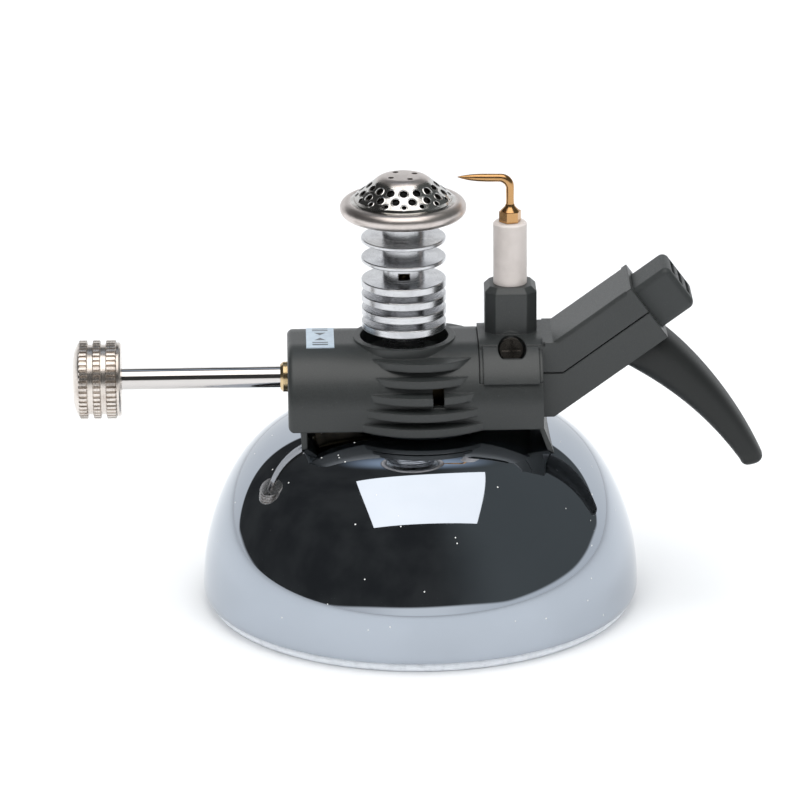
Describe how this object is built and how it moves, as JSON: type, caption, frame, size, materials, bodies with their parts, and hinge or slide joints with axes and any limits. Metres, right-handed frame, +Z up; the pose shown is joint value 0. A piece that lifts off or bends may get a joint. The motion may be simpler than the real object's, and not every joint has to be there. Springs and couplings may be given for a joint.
{
  "type": "bunsen burner",
  "caption": "Table-top gas burner: domed chrome tank, finned burner tube, perforated cap, long needle-valve rod, side arm with piezo igniter, push button and curved gas lever.",
  "frame": {"origin": "on the tank's axis, at the level of the table it stands on", "axes": "+Z up along the tank's axis; +X towards the igniter arm and lever, -X towards the control knob; -Y is the front, where the sight slot and the cover screw are"},
  "size_m": [0.142, 0.09, 0.0912],
  "materials": {
    "chrome_plate": "mirror-bright chrome plate",
    "nickel_knurl": "nickel-plated brass, straight-knurled",
    "base_steel": "plain zinc-plated steel",
    "stainless": "turned and polished stainless steel",
    "burner_aluminium": "turned aluminium, bright",
    "brass": "turned brass",
    "electrode_brass": "polished brass wire and collar",
    "housing_plastic": "glass-filled nylon with a fine spark texture",
    "lever_plastic": "smoother satin black nylon",
    "button_plastic": "satin black nylon",
    "label_film": null,
    "white_ceramic": "unglazed white steatite",
    "seal_rubber": "black nitrile rubber",
    "lead_silicone": "red silicone insulation",
    "piezo_case": "moulded plastic case",
    "spring_steel": "bright spring wire",
    "cotton": "braided cotton wick"
  },
  "bodies": {
    "frame": {"tank_shell": "chrome_plate", "seam_ring": "chrome_plate", "base_plate": "base_steel", "fill_valve_body": "brass", "fill_valve_seal": "seal_rubber", "fill_valve_spring": "spring_steel", "tank_neck": "brass", "neck_nut": "brass", "dome_gasket": "seal_rubber", "wick_tube": "brass", "wick": "cotton", "main_housing": "housing_plastic", "label_plate": "label_film", "valve_body": "brass", "gland_nut": "brass", "spindle_seal": "seal_rubber", "jet_nozzle": "brass", "burner_tube": "burner_aluminium", "flame_cap": "stainless", "flame_screen": "stainless", "igniter_cover": "housing_plastic", "igniter_lower_shell": "housing_plastic", "cover_screw": "stainless", "piezo_body": "piezo_case", "hv_lead": "lead_silicone", "earth_strip": "spring_steel", "ceramic_insulator": "white_ceramic", "electrode": "electrode_brass", "lever_pin": "stainless", "lever_spring": "spring_steel"},
    "fill_stem": {"fill_valve_stem": "brass"},
    "needle_carrier": {"needle": "stainless"},
    "control": {"control_rod": "chrome_plate", "control_knob": "nickel_knurl"},
    "button": {"igniter_button": "button_plastic", "piezo_plunger": "piezo_case"},
    "lever": {"trigger_lever": "lever_plastic"},
    "pushrod": {"gas_pushrod": "stainless"}
  },
  "joints": [
    {"name": "needle_travel", "type": "slide", "parent": "frame", "child": "needle_carrier", "axis": [-1, 0, 0], "range_m": [0, 0.00075]},
    {"name": "knob_turn", "type": "hinge", "parent": "needle_carrier", "child": "control", "pos_m": [-0.066, 0, 0.0483], "axis": [-1, 0, 0], "range_deg": [0, 540]},
    {"name": "lever_press", "type": "hinge", "parent": "frame", "child": "lever", "pos_m": [0.04036, 0, 0.0546], "axis": [0, 1, 0], "range_deg": [0, 12], "stiffness_Nm_per_rad": 0.25, "springref_deg": -11.46},
    {"name": "pushrod_travel", "type": "slide", "parent": "frame", "child": "pushrod", "axis": [-1, 0, 0], "range_m": [0, 0.001]},
    {"name": "button_press", "type": "slide", "parent": "frame", "child": "button", "axis": [-0.809, 0, -0.5878], "range_m": [0, 0.004], "stiffness_N_per_m": 1500, "springref_m": -0.001},
    {"name": "fill_press", "type": "slide", "parent": "frame", "child": "fill_stem", "axis": [0, 0, 1], "range_m": [0, 0.0015], "stiffness_N_per_m": 900, "springref_m": -0.001, "deforming": ["fill_valve_spring"]}
  ],
  "couplings": [
    {"joint": "knob_turn", "follows": "needle_travel", "rad_per_m": 12566},
    {"joint": "pushrod_travel", "follows": "lever_press", "m_per_rad": 0.0046}
  ]
}
